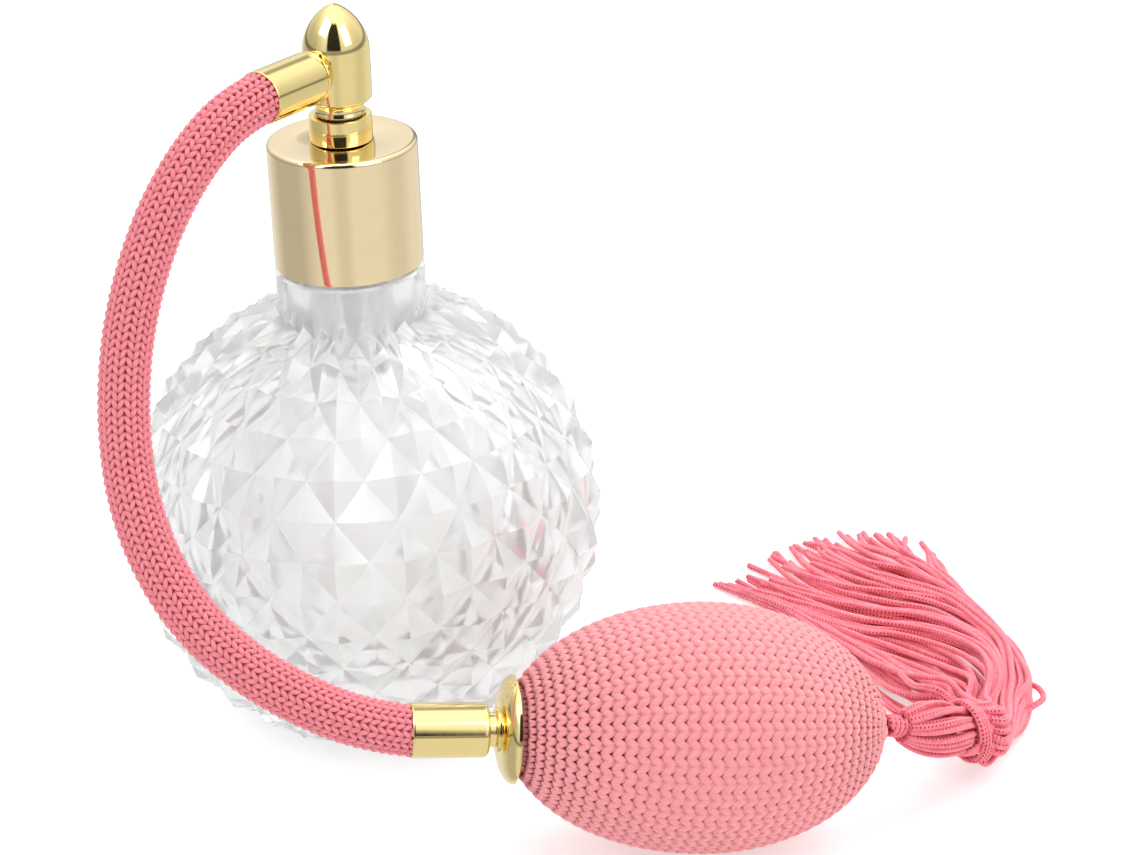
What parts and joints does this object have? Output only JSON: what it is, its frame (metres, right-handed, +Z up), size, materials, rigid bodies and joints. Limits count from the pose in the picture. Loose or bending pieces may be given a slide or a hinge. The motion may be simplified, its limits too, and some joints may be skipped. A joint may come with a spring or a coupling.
{
  "type": "perfume bottle",
  "caption": "Ball-shaped cut-glass perfume bottle with a gilt screw collar, a swivelling spray head, a knitted hose, a squeeze bulb and a cord tassel.",
  "frame": {"origin": "middle of the glass bottle's foot, on the table", "axes": "+Z up through the neck; -Y is the side where the hose and bulb lie; +X towards the tassel"},
  "size_m": [0.1508, 0.1196, 0.1224],
  "materials": {
    "clear_glass": "clear polished cut glass",
    "champagne_gold": "mirror-bright pale champagne gilt",
    "yellow_gold": "mirror-bright yellow gilt",
    "brass": "plain turned brass",
    "steel": "polished steel ball",
    "white_plastic": "moulded white",
    "clear_plastic": "translucent tube",
    "seal_rubber": "soft black seal",
    "pink_rubber": "soft pink rubber",
    "pink_hose_knit": "close pink stocking-stitch sleeve",
    "pink_net_knit": "open pink knitted cover",
    "pink_cord": "soft braided pink cord"
  },
  "bodies": {
    "bottle": {"glass_bottle": "clear_glass"},
    "gasket": {"neck_gasket": "seal_rubber"},
    "closure": {"stem_plug": "white_plastic", "dip_tube": "clear_plastic", "swivel_seal": "seal_rubber", "lower_ring": "yellow_gold", "upper_ring": "yellow_gold"},
    "collar": {"outer_collar": "champagne_gold", "screw_liner": "white_plastic"},
    "head": {"spray_head": "yellow_gold", "head_core": "white_plastic", "nozzle_insert": "brass", "arm_nipple": "yellow_gold", "arm_ferrule": "yellow_gold", "hose_tubing": "pink_rubber", "hose_sleeve": "pink_hose_knit", "bulb_ferrule": "yellow_gold", "cup_nipple": "yellow_gold", "flared_cup": "yellow_gold", "rubber_bulb": "pink_rubber", "bulb_cover": "pink_net_knit", "valve_body": "brass", "valve_retainer": "brass", "tassel_loop": "pink_cord"},
    "press_wall": {"press_wall": "pink_rubber"},
    "valve_ball": {"valve_ball": "steel"},
    "tassel": {"tassel_head": "pink_cord", "tassel_binding": "pink_cord", "tassel_skirt": "pink_cord"}
  },
  "joints": [
    {"name": "closure_lift_off", "type": "slide", "parent": "bottle", "child": "gasket", "axis": [0, 0, 1], "range_m": [0, 0.095]},
    {"name": "thread_rise", "type": "slide", "parent": "gasket", "child": "closure", "axis": [0, 0, 1], "range_m": [0, 0.0045]},
    {"name": "collar_turn", "type": "hinge", "parent": "closure", "child": "collar", "pos_m": [0, 0, 0.09], "axis": [0, 0, 1], "range_deg": [0, 545]},
    {"name": "head_swivel", "type": "hinge", "parent": "closure", "child": "head", "pos_m": [0, 0, 0.112], "axis": [0, 0, 1], "continuous": true},
    {"name": "bulb_squeeze", "type": "slide", "parent": "head", "child": "press_wall", "axis": [0, 0, -1], "range_m": [0, 0.016], "stiffness_N_per_m": 400, "deforming": ["rubber_bulb", "bulb_cover"]},
    {"name": "inlet_valve_lift", "type": "slide", "parent": "head", "child": "valve_ball", "axis": [-0.9794, -0.1611, 0.122], "range_m": [0, 0.0007]},
    {"name": "tassel_swing", "type": "hinge", "parent": "head", "child": "tassel", "pos_m": [0.08279, -0.04763, 0.01664], "axis": [0, 0, 1], "range_deg": [-45, 15]}
  ],
  "couplings": [
    {"joint": "collar_turn", "follows": "thread_rise", "rad_per_m": 2094.4}
  ]
}
